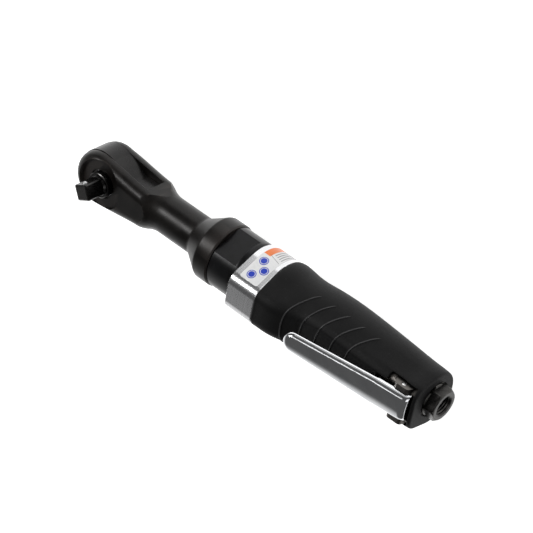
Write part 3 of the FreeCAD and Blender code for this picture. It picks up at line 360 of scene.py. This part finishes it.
# ---- throttle lever ----------------------------------------------------------------------------------
LEVER_HALF_W, LEVER_CROWN = 8.4, 1.5
LEVER_PIVOT_Z, LEVER_SKIN_Z = 16.0, 20.0    # the drop grows from nothing to full between these heights
LEVER_BEND_X, LEVER_BEND_R = 229.4, 3.8
BEND_REACH = 0.95                           # share of the bend's radius that the sheet follows
CROWN_CUTS, CROWN_CUT_PITCH = 11, 0.7       # cuts each side of the middle
BEND_CUTS, BEND_CUT_PITCH = 9, 0.4


def lever_drop(x, y, z):
    """How far a point of the lever sits below its flat layout: crowned across, bent down at the rear."""
    crown = LEVER_CROWN * min(1.0, abs(y) / LEVER_HALF_W) ** 2
    past = min(max(0.0, x - LEVER_BEND_X), BEND_REACH * LEVER_BEND_R)
    bend = LEVER_BEND_R - math.sqrt(LEVER_BEND_R ** 2 - past ** 2)
    hold = min(1.0, max(0.0, (z - LEVER_PIVOT_Z) / (LEVER_SKIN_Z - LEVER_PIVOT_Z)))
    return hold * (crown + bend)


def crowned_lever():
    """The pressed lever with its sheet crowned across and its rear end bent down; it stands for the node."""
    source = frame["nodes"]["throttle_lever"]
    piece = bpy.data.objects.new("throttle_lever_finish", source.data.copy())
    bpy.context.scene.collection.objects.link(piece)
    work = bmesh.new()
    work.from_mesh(piece.data)
    bmesh.ops.remove_doubles(work, verts=work.verts, dist=WELD)
    along_x, along_y = (1.0, 0.0, 0.0), (0.0, 1.0, 0.0)
    cuts = [((0.0, CROWN_CUT_PITCH * i * MM, 0.0), along_y) for i in range(-CROWN_CUTS, CROWN_CUTS + 1)]
    cuts += [(((LEVER_BEND_X + BEND_CUT_PITCH * i) * MM, 0.0, 0.0), along_x) for i in range(BEND_CUTS)]
    for place, normal in cuts:
        everything = list(work.verts) + list(work.edges) + list(work.faces)
        bmesh.ops.bisect_plane(work, geom=everything, plane_co=place, plane_no=normal, dist=1e-7)
    for vert in work.verts:
        x, y, z = vert.co / MM
        vert.co.z -= lever_drop(x, y, z) * MM
    work.to_mesh(piece.data)
    work.free()
    piece.data.polygons.foreach_set("use_smooth", [True] * len(piece.data.polygons))
    piece.data.set_sharp_from_angle(angle=math.radians(LEVER_SMOOTH_ANGLE))
    piece.data.materials.clear()
    piece.data.materials.append(CHROME)
    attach(piece, source["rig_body"])
    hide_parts("throttle_lever")


def moulded_copy(node, name, cell, passes):
    """A copy of a CAD node remade as an even skin and relaxed, so that its edges are softly moulded."""
    source = frame["nodes"][node]
    piece = bpy.data.objects.new(name, source.data.copy())
    bpy.context.scene.collection.objects.link(piece)
    skin = piece.modifiers.new("even_skin", "REMESH")
    skin.mode = "VOXEL"
    skin.voxel_size = cell * MM
    skin.use_smooth_shade = True
    relax = piece.modifiers.new("relaxed", "SMOOTH")
    relax.factor = 0.5
    relax.iterations = passes
    piece.data.materials.clear()
    piece.data.materials.append(material_of(node))
    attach(piece, source["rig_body"])
    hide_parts(node)


def finish_cad_nodes():
    """Material and smooth shading on every CAD node."""
    for node, thing in frame["nodes"].items():
        thing.data.materials.clear()
        thing.data.materials.append(material_of(node))
        thing.data.polygons.foreach_set("use_smooth", [True] * len(thing.data.polygons))
        thing.data.set_sharp_from_angle(angle=math.radians(NODE_SMOOTH_ANGLE))


# ---- grip ribs ---------------------------------------------------------------------------------------
RIBS = 5
FIRST_RIB_X, RIB_PITCH = 146.5, 10.4
RIB_SWEEP, RIB_SPAN = 10.5, 75.0      # how far a rib's ends trail its middle, and their angle from the top
RIB_R, RIB_LIFT = 0.42, 0.12
RIB_STEPS, RIB_SIDES = 56, 10
RIB_TAPER, RIB_TIP = 12, 0.02           # the higher the taper, the later a rib thins towards its ends
RIB_SMOOTH_ANGLE = 80.0
RAY_START = 0.06                        # distance from the tool axis, in metres, that rays come in from


def outer_surface(node):
    """Search tree over a CAD node's surface."""
    mesh = frame["nodes"][node].data
    return BVHTree.FromPolygons([v.co for v in mesh.vertices], [p.vertices for p in mesh.polygons])


def surface_point(tree, x, angle):
    """Outermost point and normal at x and at an angle from the top, about the tool axis; millimetres."""
    outward = Vector((0.0, math.sin(angle), math.cos(angle)))
    hit, normal, _, _ = tree.ray_cast(Vector((x * MM, 0.0, 0.0)) + RAY_START * outward, -outward)
    return hit / MM, normal


def rib(tree, middle_x, number):
    """One round bead over the grip, swept back from its middle and tapered at its ends."""
    rings = []
    for step in range(RIB_STEPS + 1):
        share = 2.0 * step / RIB_STEPS - 1.0
        angle = math.radians(RIB_SPAN * share)
        point, normal = surface_point(tree, middle_x + RIB_SWEEP * share ** 2, angle)
        radius = RIB_R * math.sqrt(max(RIB_TIP, 1.0 - share ** RIB_TAPER))
        rings.append((point, normal, radius))
    verts = []
    for step, (point, normal, radius) in enumerate(rings):
        before, after = rings[max(step - 1, 0)][0], rings[min(step + 1, RIB_STEPS)][0]
        along = (after - before).normalized()
        side = along.cross(normal).normalized()
        for k in range(RIB_SIDES):
            turn = 2 * math.pi * k / RIB_SIDES
            spoke = math.cos(turn) * side + math.sin(turn) * normal
            verts.append(point + RIB_LIFT * normal + radius * spoke)
    faces = [tuple(range(RIB_SIDES))[::-1], tuple(RIB_STEPS * RIB_SIDES + k for k in range(RIB_SIDES))]
    for step in range(RIB_STEPS):
        for k in range(RIB_SIDES):
            low, high = step * RIB_SIDES, (step + 1) * RIB_SIDES
            after = (k + 1) % RIB_SIDES
            faces.append((low + k, low + after, high + after, high + k))
    # the rib's lighter rubber is a painted highlight along its crest
    add_piece("grip_rib_%d" % number, verts, faces, RIB_RUBBER_PAINTED_HIGHLIGHT, "tool_body", RIB_SMOOTH_ANGLE)


def add_ribs():
    tree = outer_surface("grip_boot")
    for number in range(RIBS):
        rib(tree, FIRST_RIB_X + RIB_PITCH * number, number + 1)


# ---- label -------------------------------------------------------------------------------------------
FILM_LIFT, LABEL_LIFT = 0.02, 0.12       # the film's underside and top over the band
INK_T, INK_ROOT = 0.05, 0.05            # how far ink stands over the film's top and reaches below it
FILM_X, FILM_S, FILM_CORNER, FILM_ROWS = (112.9, 125.4), (13.2, 52.0), 1.3, 72
DISC_R, DISC_STEPS, DISC_RINGS = 2.7, 40, 6
RING_SHARES = (0.70, 0.82)              # the white ring's inner and outer radius as shares of the disc's
RING_ROOT, RING_T = 0.02, 0.05          # the ring's foot over the film, and its height over the ink
DISCS = ((117.2, 28.2), (117.7, 17.7), (121.8, 23.2))    # x and distance round the band from its top
DIVIDER, DIVIDER_WIDTH = ((116.4, 34.2), (124.6, 31.8)), 0.22
BAR_X, BAR_S = (113.0, 117.4), (32.8, 50.0)
TEXT_LINES = ((119.0, 35.4, 49.0), (120.7, 35.0, 50.5), (122.4, 34.6, 48.0), (124.1, 34.2, 50.0))
TEXT_WIDTH = 0.42
STRIP_STEPS = 14
LABEL_SMOOTH_ANGLE = 50.0
BAND_MID_X = 118.0
WRAP_STEPS, WRAP_STEP_DEG = 620, 0.25


class Wrap:
    """Places points on the label by x and by distance round the band from the middle of its top."""

    def __init__(self):
        tree = outer_surface("motor_housing")
        self.table = []
        last, travelled = None, 0.0
        for step in range(WRAP_STEPS):
            angle = math.radians(WRAP_STEP_DEG * step)
            point, normal = surface_point(tree, BAND_MID_X, angle)
            travelled += (point - last).length if last else 0.0
            last = point
            self.table.append((travelled, point.copy(), normal.copy()))

    def at(self, x, distance, lift):
        """Point at x and a distance round the band, lifted off its surface."""
        rows = self.table
        k = next(i for i in range(1, len(rows)) if rows[i][0] >= distance)
        share = (distance - rows[k - 1][0]) / (rows[k][0] - rows[k - 1][0])
        point = rows[k - 1][1].lerp(rows[k][1], share)
        normal = rows[k - 1][2].lerp(rows[k][2], share).normalized()
        return Vector((x, point.y, point.z)) + lift * normal


def ink_patch(wrap, name, outline, centre, material):
    """Thin raised patch on the label: rings from the outline in to the centre, and a rim into the film."""
    count = len(outline)
    mid_x, mid_s = centre
    verts = []
    for ring in range(DISC_RINGS + 1):
        share = 1.0 - ring / DISC_RINGS
        for x, s in outline:
            inward_x, inward_s = mid_x + share * (x - mid_x), mid_s + share * (s - mid_s)
            verts.append(wrap.at(inward_x, inward_s, LABEL_LIFT + INK_T))
    verts += [wrap.at(x, s, LABEL_LIFT - INK_ROOT) for x, s in outline]
    faces = []
    for ring in range(DISC_RINGS):
        outer, inner = ring * count, (ring + 1) * count
        for k in range(count):
            after = (k + 1) % count
            faces.append((outer + k, outer + after, inner + after, inner + k))
    rim = (DISC_RINGS + 1) * count
    faces += [(k, rim + k, rim + (k + 1) % count, (k + 1) % count) for k in range(count)]
    add_piece(name, verts, faces, material, "tool_body", LABEL_SMOOTH_ANGLE)


def strip(start, end, width):
    """Outline of a straight band between two (x, distance) ends."""
    (x0, s0), (x1, s1) = start, end
    length = math.hypot(x1 - x0, s1 - s0)
    off_x, off_s = -(s1 - s0) / length * width / 2, (x1 - x0) / length * width / 2
    there = [(x0 + (x1 - x0) * i / STRIP_STEPS, s0 + (s1 - s0) * i / STRIP_STEPS)
             for i in range(STRIP_STEPS + 1)]
    return [(x + off_x, s + off_s) for x, s in there] + [(x - off_x, s - off_s) for x, s in reversed(there)]


def ribbon(wrap, name, start, end, width, material):
    """Narrow printed line or bar as a grid along its length."""
    outline = strip(start, end, width)
    half = len(outline) // 2
    verts = [wrap.at(x, s, LABEL_LIFT + INK_T) for x, s in outline]
    verts += [wrap.at(x, s, LABEL_LIFT - INK_ROOT) for x, s in outline]
    count = len(outline)
    faces = [(k, k + 1, count - 2 - k, count - 1 - k) for k in range(half - 1)]
    faces += [(k, count + k, count + (k + 1) % count, (k + 1) % count) for k in range(count)]
    add_piece(name, verts, faces, material, "tool_body", LABEL_SMOOTH_ANGLE)


def ring_of_white(wrap, name, x, s):
    """White ring printed on a disc."""
    inner, outer = RING_SHARES
    foot, top = RING_ROOT, INK_T + RING_T
    verts, faces = [], []
    for k in range(DISC_STEPS):
        turn = 2 * math.pi * k / DISC_STEPS
        for share, lift in ((inner, foot), (inner, top), (outer, top), (outer, foot)):
            verts.append(wrap.at(x + share * DISC_R * math.cos(turn), s + share * DISC_R * math.sin(turn),
                                 LABEL_LIFT + lift))
        low, high = 4 * k, 4 * ((k + 1) % DISC_STEPS)
        faces += [(low + j, low + (j + 1) % 4, high + (j + 1) % 4, high + j) for j in range(4)]
    add_piece(name, verts, faces, WHITE_FILM, "tool_body", LABEL_SMOOTH_ANGLE)


def add_film(wrap):
    """The label's white film with rounded corners; it stands for the CAD label."""
    verts, faces = [], []
    for row in range(FILM_ROWS + 1):
        s = FILM_S[0] + (FILM_S[1] - FILM_S[0]) * (1 - math.cos(math.pi * row / FILM_ROWS)) / 2
        near_end = min(s - FILM_S[0], FILM_S[1] - s)
        trim = FILM_CORNER - math.sqrt(max(0.0, FILM_CORNER ** 2 - max(0.0, FILM_CORNER - near_end) ** 2))
        x0, x1 = FILM_X[0] + trim, FILM_X[1] - trim
        verts += [wrap.at(x0, s, FILM_LIFT), wrap.at(x0, s, LABEL_LIFT), wrap.at(x1, s, LABEL_LIFT),
                  wrap.at(x1, s, FILM_LIFT)]
    for row in range(FILM_ROWS):
        low, high = 4 * row, 4 * (row + 1)
        faces += [(low + j, low + (j + 1) % 4, high + (j + 1) % 4, high + j) for j in range(4)]
    faces += [(3, 2, 1, 0), tuple(4 * FILM_ROWS + j for j in range(4))]
    film = add_piece("label_film", verts, faces, WHITE_FILM, "tool_body", LABEL_SMOOTH_ANGLE)
    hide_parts("info_label")


def add_label_print():
    """Generic print: three blue discs with white rings, an orange bar, a dividing line and grey lines."""
    wrap = Wrap()
    add_film(wrap)
    for number, (x, s) in enumerate(DISCS):
        outline = [(x + DISC_R * math.cos(2 * math.pi * k / DISC_STEPS),
                    s + DISC_R * math.sin(2 * math.pi * k / DISC_STEPS)) for k in range(DISC_STEPS)]
        ink_patch(wrap, "label_disc_%d" % (number + 1), outline, (x, s), BLUE_INK)
        ring_of_white(wrap, "label_ring_%d" % (number + 1), x, s)
    ribbon(wrap, "label_divider", *DIVIDER, DIVIDER_WIDTH, GREY_INK)
    bar_mid = sum(BAR_X) / 2
    ribbon(wrap, "label_bar", (bar_mid, BAR_S[0]), (bar_mid, BAR_S[1]), BAR_X[1] - BAR_X[0], ORANGE_INK)
    for number, (x, s0, s1) in enumerate(TEXT_LINES):
        ribbon(wrap, "label_line_%d" % (number + 1), (x, s0), (x, s1), TEXT_WIDTH, GREY_INK)


# ---- inlet thread ------------------------------------------------------------------------------------
THREAD_PITCH, THREAD_TURNS = 1.411, 4.2     # 18 threads per inch
THREAD_DEPTH, THREAD_ROOT = 0.5, 0.1        # how far the crest stands in, and how deep its foot is sunk
THREAD_CREST, THREAD_FOOT = 0.08, 0.5       # half widths as shares of the pitch
THREAD_STEPS, THREAD_FADE = 48, 24.0        # steps in a turn, and steps over which each end fades
THREAD_SMOOTH_ANGLE = 30.0
INLET_BORE_R = 5.56
THREAD_MOUTH = 4.6                          # from the inlet's mount to where the thread starts


def add_inlet_thread():
    """Thread crest standing in from the inlet's bore as one helix."""
    count = int(THREAD_TURNS * THREAD_STEPS)
    mouth_x = frame["record"]["mounts"][1]["pos_m"][0] / MM + THREAD_MOUTH
    verts = []
    for step in range(count + 1):
        turn = 2 * math.pi * step / THREAD_STEPS
        x = mouth_x - THREAD_PITCH * step / THREAD_STEPS
        fade = min(1.0, step / THREAD_FADE, (count - step) / THREAD_FADE)
        foot_r, crest_r = INLET_BORE_R + THREAD_ROOT, INLET_BORE_R - THREAD_DEPTH * fade
        for off_x, radius in ((-THREAD_FOOT, foot_r), (-THREAD_CREST, crest_r),
                              (THREAD_CREST, crest_r), (THREAD_FOOT, foot_r)):
            verts.append((x + off_x * THREAD_PITCH, radius * math.sin(turn), radius * math.cos(turn)))
    faces = [(0, 1, 2, 3)[::-1], tuple(4 * count + k for k in range(4))]
    for step in range(count):
        low, high = 4 * step, 4 * (step + 1)
        faces += [(low + k, low + (k + 1) % 4, high + (k + 1) % 4, high + k) for k in range(4)]
    add_piece("inlet_thread", verts, faces, INLET_BLACK, "tool_body", THREAD_SMOOTH_ANGLE)


# ---- light, floor and camera -----------------------------------------------------------------------
TOOL_MIDDLE = Vector((0.12, 0.0, 0.0))
# name, place from the tool's middle, length, width, watts, and whether polished pieces mirror it
SOFTBOXES = (
    ("ridge_softbox", (-0.40, 0.42, 0.70), 1.0, 0.17, 0.8, True),
    ("head_softbox", (-0.54, 0.42, 0.66), 0.22, 0.22, 3.6, True),
    ("side_softbox", (0.10, 0.95, 0.12), 1.1, 0.45, 0.7, True),
    ("rear_softbox", (0.95, 0.10, 0.35), 0.5, 0.5, 1.0, True),
    ("side_wash", (0.15, 0.85, 0.45), 0.8, 0.5, 2.6, False),
)
FLOOR_DROP, FLOOR_HALF, FLOOR_GLOW = 0.002, 3.0, 0.95
WORLD_LIGHT, BACKDROP_LIGHT = 0.10, 0.95
BACKDROP_WAY = (-0.55, -0.72, -0.42)    # towards the low side of the room away from the camera
BACKDROP_EDGE = (0.36, 0.66)            # where the backdrop fades in, as the cosine off that way


def area_light(name, place, length, width, power, mirrored):
    """Softbox aimed at the tool, with its long side along it; unmirrored, it is kept out of reflections."""
    data = bpy.data.lights.new(name, "AREA")
    data.shape = "RECTANGLE"
    data.size = length
    data.size_y = width
    data.energy = power
    lamp = bpy.data.objects.new(name, data)
    back = Vector(place).normalized()
    side = (Vector((1.0, 0.0, 0.0)) - back * back.x).normalized()
    turn = Matrix((side, back.cross(side), back)).transposed()
    lamp.matrix_world = Matrix.Translation(TOOL_MIDDLE + Vector(place)) @ turn.to_4x4()
    lamp.visible_glossy = mirrored
    bpy.context.scene.collection.objects.link(lamp)


def add_floor():
    """Pale paper floor; it glows, except on diffuse bounces, so that it prints white."""
    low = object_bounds()[0][2] - FLOOR_DROP
    half = FLOOR_HALF
    mesh = bpy.data.meshes.new("studio_floor")
    corners = [(-half, -half, low), (half, -half, low), (half, half, low), (-half, half, low)]
    mesh.from_pydata(corners, [], [(0, 1, 2, 3)])
    floor = bpy.data.objects.new("studio_floor", mesh)
    bpy.context.scene.collection.objects.link(floor)
    recipe = Recipe("studio_paper")
    fibres = recipe.noise(400.0)
    paper = recipe.ramp(fibres, 0.3, 0.7, (0.93, 0.93, 0.93), (0.96, 0.96, 0.96))
    scattered = recipe.node("ShaderNodeLightPath").outputs["Is Diffuse Ray"]
    glow = recipe.span(scattered, 0.0, 1.0, FLOOR_GLOW, 0.0)
    mesh.materials.append(recipe.surface(paper, 0.0, 0.9, Emission_Color=paper, Emission_Strength=glow))


def add_world():
    """Dim room with a white backdrop low down on the side away from the camera."""
    world = bpy.data.worlds.new("studio_air")
    world.use_nodes = True
    tree = world.node_tree
    backdrop = tree.nodes["Background"]
    way = tree.nodes.new("ShaderNodeVectorMath")
    way.operation = "DOT_PRODUCT"
    way.inputs[1].default_value = BACKDROP_WAY
    towards = tree.nodes.new("ShaderNodeTexCoord")
    tree.links.new(towards.outputs["Generated"], way.inputs[0])
    rise = tree.nodes.new("ShaderNodeMapRange")
    rise.interpolation_type = "SMOOTHSTEP"
    values = (*BACKDROP_EDGE, WORLD_LIGHT, BACKDROP_LIGHT)
    for key, value in zip(("From Min", "From Max", "To Min", "To Max"), values):
        rise.inputs[key].default_value = value
    tree.links.new(way.outputs["Value"], rise.inputs["Value"])
    tree.links.new(rise.outputs["Result"], backdrop.inputs["Strength"])
    backdrop.inputs["Color"].default_value = (1.0, 1.0, 1.0, 1.0)
    bpy.context.scene.world = world


def add_lights():
    for softbox in SOFTBOXES:
        area_light(*softbox)


TOOL_SLOPE = math.radians(34.77)      # the tool axis's slope across the picture
TOOL_TILT = math.radians(27.5)        # the tool axis's lean towards the camera
DRIVE_TURN = math.radians(47.6)       # the drive axis's turn out of the picture about the tool axis
CAMERA_DISTANCE, SENSOR_WIDTH, NEAR_CLIP = 1.3, 36.0, 0.05
PICTURE_WIDTH = 0.28967               # metres across the picture at the target
TARGET = Vector((0.1113, 0.0052, -0.0047))


def add_camera():
    """Camera frame built from how the tool axis and the drive axis lie in the picture."""
    along = Vector((math.cos(TOOL_SLOPE), math.sin(TOOL_SLOPE)))
    across = Vector((-math.sin(TOOL_SLOPE), math.cos(TOOL_SLOPE)))
    tilt_s, tilt_c = math.sin(TOOL_TILT), math.cos(TOOL_TILT)
    turn_s, turn_c = math.sin(DRIVE_TURN), math.cos(DRIVE_TURN)
    x_seen = along * tilt_c
    y_seen = -turn_s * across - turn_c * tilt_s * along
    z_seen = turn_c * across - turn_s * tilt_s * along
    right = Vector((x_seen.x, y_seen.x, z_seen.x))
    down = Vector((x_seen.y, y_seen.y, z_seen.y))
    back = Vector((tilt_s, turn_c * tilt_c, turn_s * tilt_c))
    data = bpy.data.cameras.new("camera")
    data.sensor_width = SENSOR_WIDTH
    data.lens = CAMERA_DISTANCE / PICTURE_WIDTH * data.sensor_width
    data.clip_start = NEAR_CLIP
    camera = bpy.data.objects.new("camera", data)
    turn = Matrix((right, -down, back)).transposed()
    camera.matrix_world = Matrix.Translation(TARGET + back * CAMERA_DISTANCE) @ turn.to_4x4()
    bpy.context.scene.collection.objects.link(camera)
    bpy.context.scene.camera = camera


# ---- build: edge rounding of the finished copies, then the grip's skin cell and smoothing passes -------
HEAD_BEVEL, NUT_BEVEL, NO_BEVEL = 0.25, 0.3, 0
GRIP_CELL, GRIP_PASSES = 0.4, 6

finish_cad_nodes()
finished_copy("ratchet_housing", "ratchet_housing_finish", HEAD_BEVEL)
crowned_lever()
finished_copy("coupling_nut", "coupling_nut_finish", NUT_BEVEL)
finished_copy("ratchet_yoke", "ratchet_yoke_finish", HEAD_BEVEL)
finished_copy("motor_housing", "motor_housing_finish", NO_BEVEL)
finished_copy("air_inlet_bushing", "air_inlet_bushing_finish", NO_BEVEL)
moulded_copy("grip_boot", "grip_boot_finish", GRIP_CELL, GRIP_PASSES)
add_ribs()
add_label_print()
add_inlet_thread()
add_floor()
add_world()
add_lights()
add_camera()
bpy.context.scene.view_settings.view_transform = "Standard"
